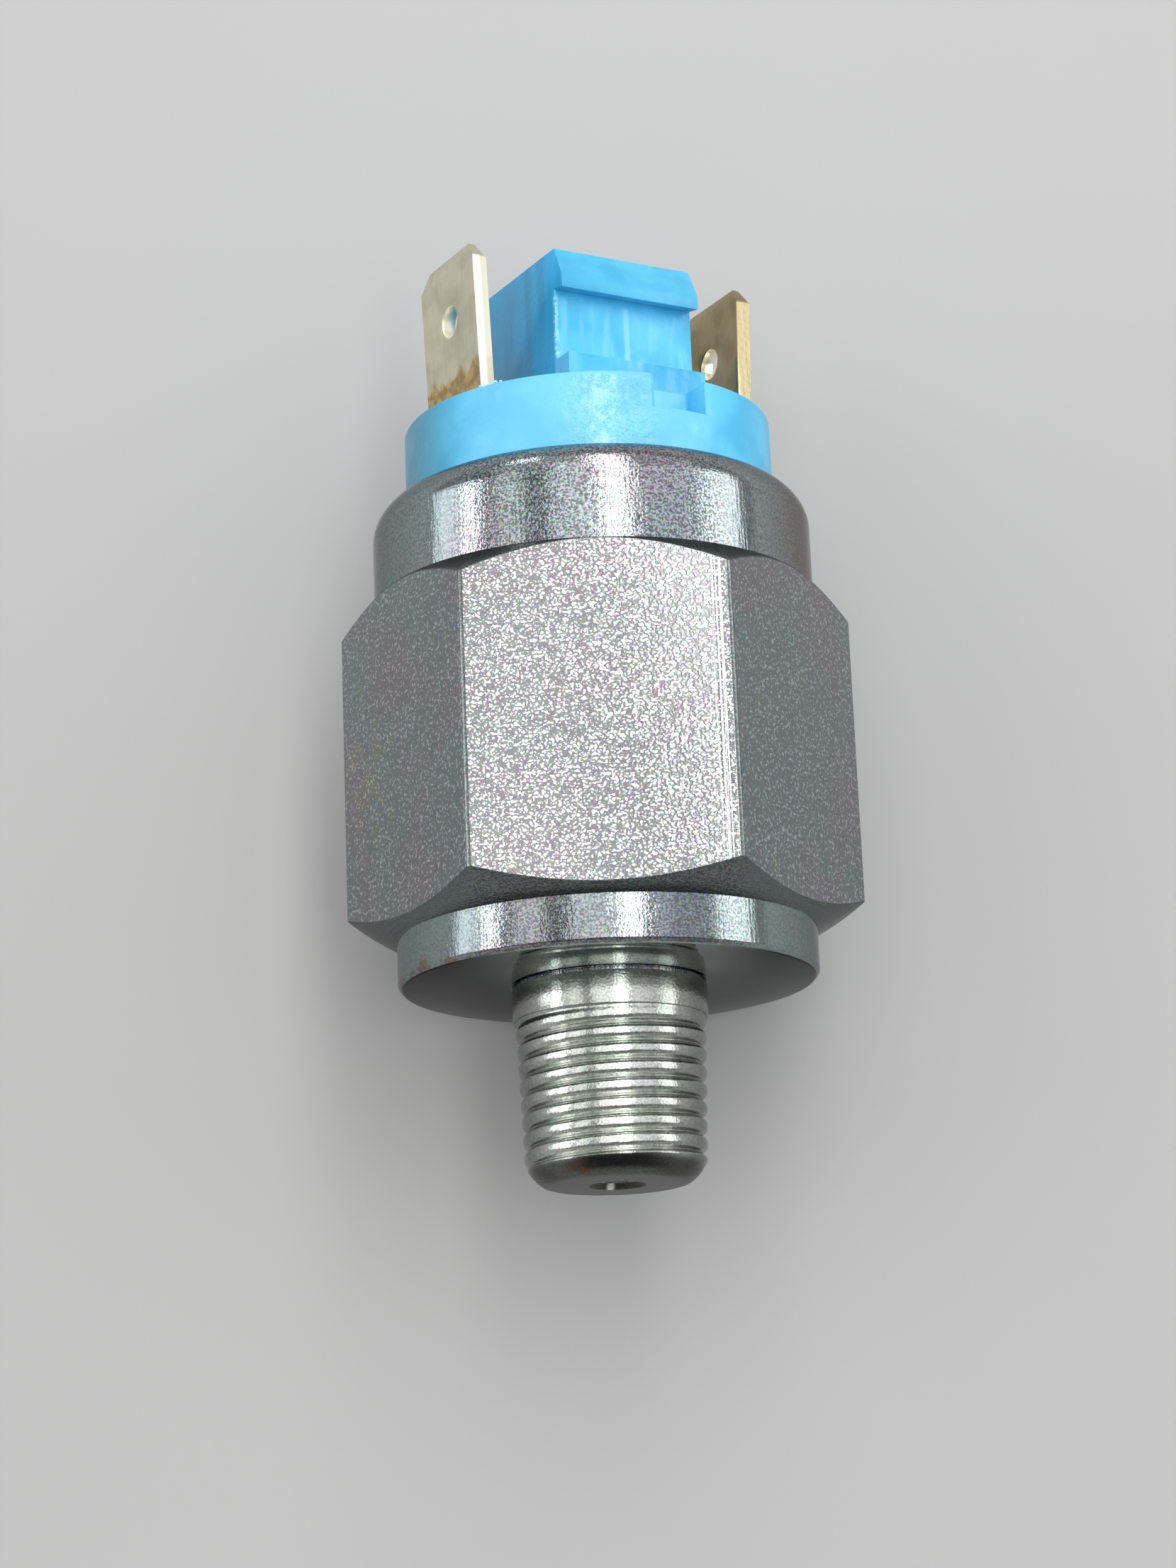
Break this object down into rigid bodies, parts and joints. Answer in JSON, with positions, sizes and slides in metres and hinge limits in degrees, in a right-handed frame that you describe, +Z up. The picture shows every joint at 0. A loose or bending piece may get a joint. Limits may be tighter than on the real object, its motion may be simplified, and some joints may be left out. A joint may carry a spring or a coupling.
{
  "type": "oil pressure sender",
  "caption": "Screw-in oil pressure sender: hexagon steel body with tapered pipe thread, rolled collar and a plastic cap with two blade terminals round a latch block.",
  "frame": {"origin": "centre of the sealing face under the flange, on the thread's axis", "axes": "-Y along the thread, the way it screws in; +Y towards the blades; +Z up out of the hexagon's upper flat, with the part lying on the opposite flat"},
  "size_m": [0.0278, 0.0507, 0.024],
  "materials": {
    "zinc_steel": "bright zinc plate, satin on the hexagon's flats and turned elsewhere",
    "blue_plastic": "moulded, satin",
    "blade_plate": "tin-plated brass, dulled",
    "seal_resin": "set resin, brown",
    "works_steel": "bright drawn steel",
    "spring_steel": "spring wire",
    "brass": "plain brass",
    "contact_metal": "silver-plated",
    "works_plastic": "natural white moulding",
    "seal_rubber": "black oil-proof rubber"
  },
  "bodies": {
    "root": {"housing": "zinc_steel", "o_ring": "seal_rubber", "diaphragm": "seal_rubber", "guide_ring": "works_plastic", "fixed_contact_left": "contact_metal", "fixed_contact_right": "contact_metal", "terminal_left": "blade_plate", "terminal_right": "blade_plate", "blade_seal_left": "seal_resin", "blade_seal_right": "seal_resin", "connector_cap": "blue_plastic", "cap_gasket": "seal_rubber", "main_spring": "spring_steel", "threaded_insert": "brass"},
    "plunger": {"plunger": "works_steel", "contact_carrier": "works_plastic", "contact_bridge": "contact_metal"},
    "spring_seat": {"spring_seat": "works_steel"},
    "adjusting_screw": {"adjusting_screw": "works_steel"}
  },
  "joints": [
    {"name": "plunger_stroke", "type": "slide", "parent": "root", "child": "plunger", "axis": [0, 1, 0], "range_m": [0, 0.00055], "stiffness_N_per_m": 4000, "springref_m": -0.002, "deforming": ["main_spring", "diaphragm"]},
    {"name": "seat_advance", "type": "slide", "parent": "root", "child": "spring_seat", "axis": [0, 1, 0], "range_m": [-0.0008, 0.0008], "deforming": ["main_spring"]},
    {"name": "screw_turn", "type": "hinge", "parent": "spring_seat", "child": "adjusting_screw", "pos_m": [0, 0.0312, 0], "axis": [0, 1, 0], "range_deg": [-360, 360]}
  ],
  "couplings": [
    {"joint": "screw_turn", "follows": "seat_advance", "rad_per_m": 7854}
  ]
}
